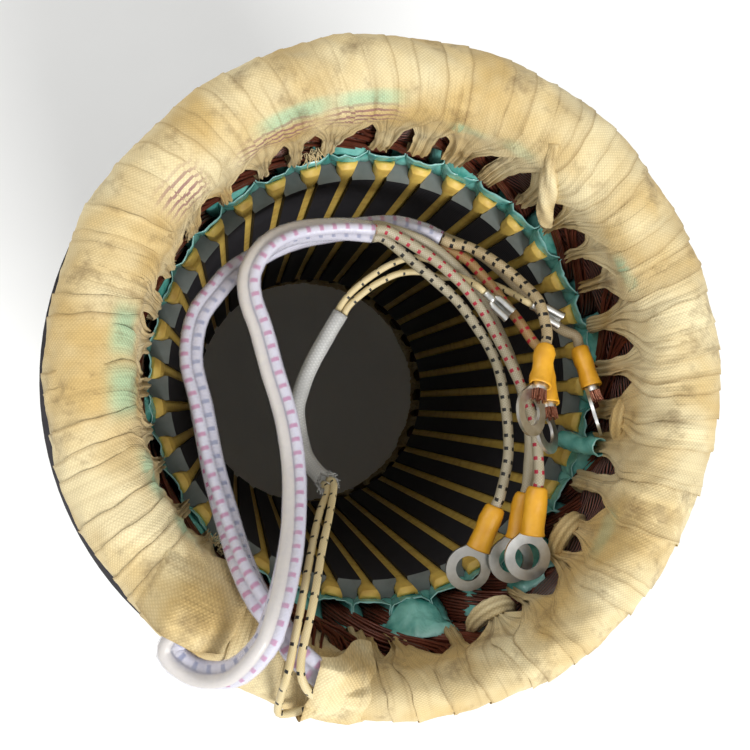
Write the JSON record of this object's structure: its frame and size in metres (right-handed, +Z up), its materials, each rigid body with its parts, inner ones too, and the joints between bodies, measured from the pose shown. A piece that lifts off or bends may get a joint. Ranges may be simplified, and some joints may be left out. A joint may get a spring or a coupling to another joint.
{
  "type": "compressor motor stator",
  "caption": "Wound stator of a compressor motor: slotted laminated core, taped end windings, sleeved leads with ring terminals and sensor leads with spade terminals.",
  "frame": {"origin": "on the bore axis, at the floor under the rear end winding", "axes": "+Z up along the bore axis towards the lead end; +X to the right and +Y to the top of the picture"},
  "size_m": [0.222, 0.222, 0.3756],
  "materials": {
    "lamination_steel": "dull, varnished edges",
    "liner_film": "satin polyester film",
    "separator_film": "satin crumpled polyester film",
    "wedge_strip": "matt laminate",
    "enamelled_copper": "glossy enamel",
    "cotton_tape": "woven, varnish-stained",
    "clear_sleeving": "translucent film",
    "glass_sleeving": "braided glass",
    "white_lead": "satin",
    "tan_lead": "satin",
    "sensor_wire": "satin",
    "tinned_copper": "bright tin",
    "vinyl_boot": "glossy vinyl"
  },
  "bodies": {
    "root": {"stator_core": "lamination_steel", "slot_liners": "liner_film", "slot_wedges": "wedge_strip", "coil_sides": "enamelled_copper", "end_winding_front": "cotton_tape", "end_winding_rear": "cotton_tape", "phase_separators_front": "separator_film", "phase_separators_rear": "separator_film", "lead_sleeve_a": "clear_sleeving", "lead_sleeve_b": "clear_sleeving", "lead_a1": "white_lead", "lead_a2": "white_lead", "lead_a3": "white_lead", "lead_b1": "tan_lead", "lead_b2": "tan_lead", "lead_b3": "tan_lead", "sensor_tail_1": "sensor_wire", "sensor_tail_2": "sensor_wire", "sensor_sleeve": "glass_sleeving", "sensor_lead_1": "sensor_wire", "sensor_lead_2": "sensor_wire", "ring_terminal_a1": "tinned_copper", "ring_terminal_a2": "tinned_copper", "ring_terminal_a3": "tinned_copper", "ring_terminal_b1": "tinned_copper", "ring_terminal_b2": "tinned_copper", "ring_terminal_b3": "tinned_copper", "terminal_boot_a1": "vinyl_boot", "terminal_boot_a2": "vinyl_boot", "terminal_boot_a3": "vinyl_boot", "terminal_boot_b1": "vinyl_boot", "terminal_boot_b2": "vinyl_boot", "terminal_boot_b3": "vinyl_boot", "spade_terminal_1": "tinned_copper", "spade_terminal_2": "tinned_copper"}
  },
  "joints": []
}
